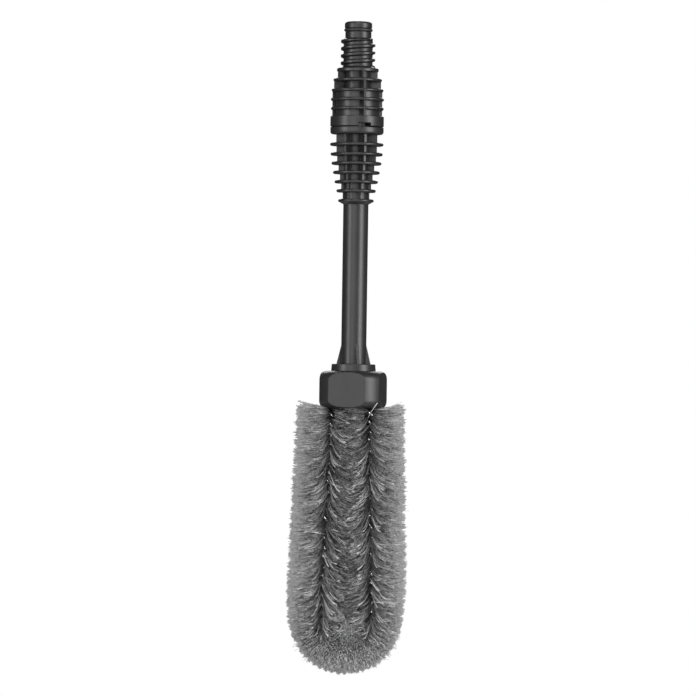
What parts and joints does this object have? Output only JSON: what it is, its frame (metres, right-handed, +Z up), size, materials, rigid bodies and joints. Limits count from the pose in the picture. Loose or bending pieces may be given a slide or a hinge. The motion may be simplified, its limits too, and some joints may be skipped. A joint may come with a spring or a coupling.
{
  "type": "wheel brush",
  "caption": "Pressure-washer wheel brush: threaded inlet with bayonet adapter, finned grip, long lance, screw-on hub and a grey twisted-wire loop brush.",
  "frame": {"origin": "on the water way's axis, in the plane of the adapter sleeve's top rim, where the spray gun meets it", "axes": "+Z up the water way towards the inlet, +X across the brush loop to the viewer's right, -Y to the front"},
  "size_m": [0.076, 0.0436, 0.4198],
  "materials": {
    "black_plastic": "satin",
    "seal_rubber": "matte",
    "steel": "satin",
    "brass": "satin",
    "grey_bristle": "satin"
  },
  "bodies": {
    "adapter": {"inlet_spigot": "black_plastic", "spigot_o_ring": "seal_rubber", "neck_o_ring": "seal_rubber", "retaining_clip": "steel", "adapter_sleeve": "black_plastic"},
    "lance": {"lance_tube": "black_plastic", "barrel_o_ring_upper": "seal_rubber", "barrel_o_ring_lower": "seal_rubber", "spray_nozzle": "brass", "nozzle_o_ring": "seal_rubber"},
    "head_seal": {"head_washer": "seal_rubber"},
    "brush_head": {"brush_hub": "black_plastic", "anchor_plate": "black_plastic", "anchor_screws": "steel", "ferrule_left": "steel", "ferrule_right": "steel", "core_wire_front": "steel", "core_wire_back": "steel", "bristles_left": "grey_bristle", "bristles_right": "grey_bristle", "bristles_bend": "grey_bristle"}
  },
  "joints": [
    {"name": "adapter_twist", "type": "hinge", "parent": "adapter", "child": "lance", "pos_m": [0, 0, -0.0343], "axis": [0, 0, 1], "range_deg": [0, 21]},
    {"name": "head_travel", "type": "slide", "parent": "lance", "child": "head_seal", "axis": [0, 0, -1], "range_m": [0, 0.009]},
    {"name": "head_screw", "type": "hinge", "parent": "head_seal", "child": "brush_head", "pos_m": [0, 0, -0.2065], "axis": [0, 0, -1], "range_deg": [0, 1080]}
  ],
  "couplings": [
    {"joint": "head_screw", "follows": "head_travel", "rad_per_m": 2094.4}
  ]
}
